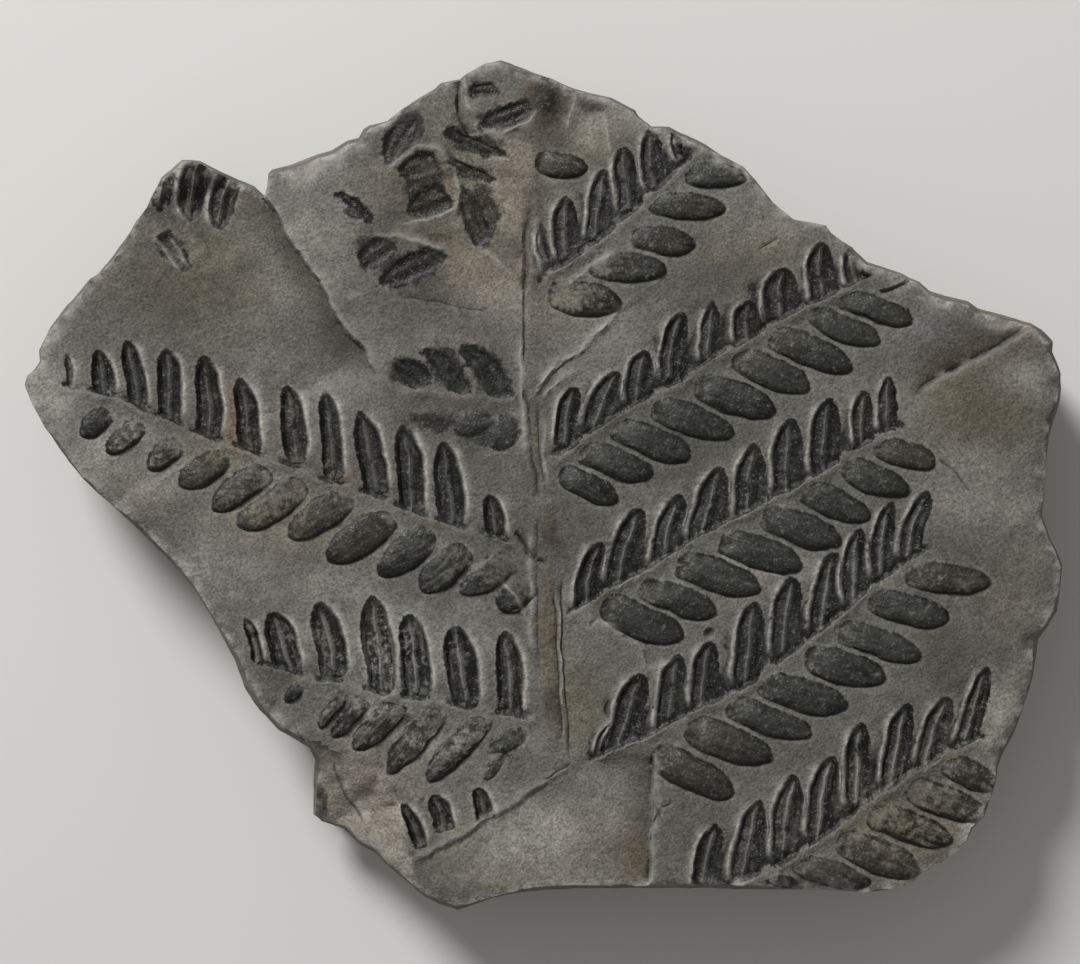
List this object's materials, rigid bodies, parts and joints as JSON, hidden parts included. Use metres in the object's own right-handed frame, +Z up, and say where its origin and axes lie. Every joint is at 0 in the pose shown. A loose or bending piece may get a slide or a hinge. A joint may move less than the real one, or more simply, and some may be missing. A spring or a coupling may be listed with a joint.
{
  "type": "fossil fern plate",
  "caption": "Broken slab of dark slate with a fossil fern frond in relief on its split face; lies flat as a display or study specimen.",
  "frame": {"origin": "middle of the slab's outline, on its flat underside", "axes": "+Z up out of the fossil face, +Y towards the top of the frond, +X to the right along the slab's longer way"},
  "size_m": [0.1046, 0.0856, 0.0122],
  "materials": {
    "slate": "split dark grey slate with a near-black leaf film, dull with small mica sparkles"
  },
  "bodies": {
    "root": {"fern_fossil_slab": "slate"}
  },
  "joints": []
}
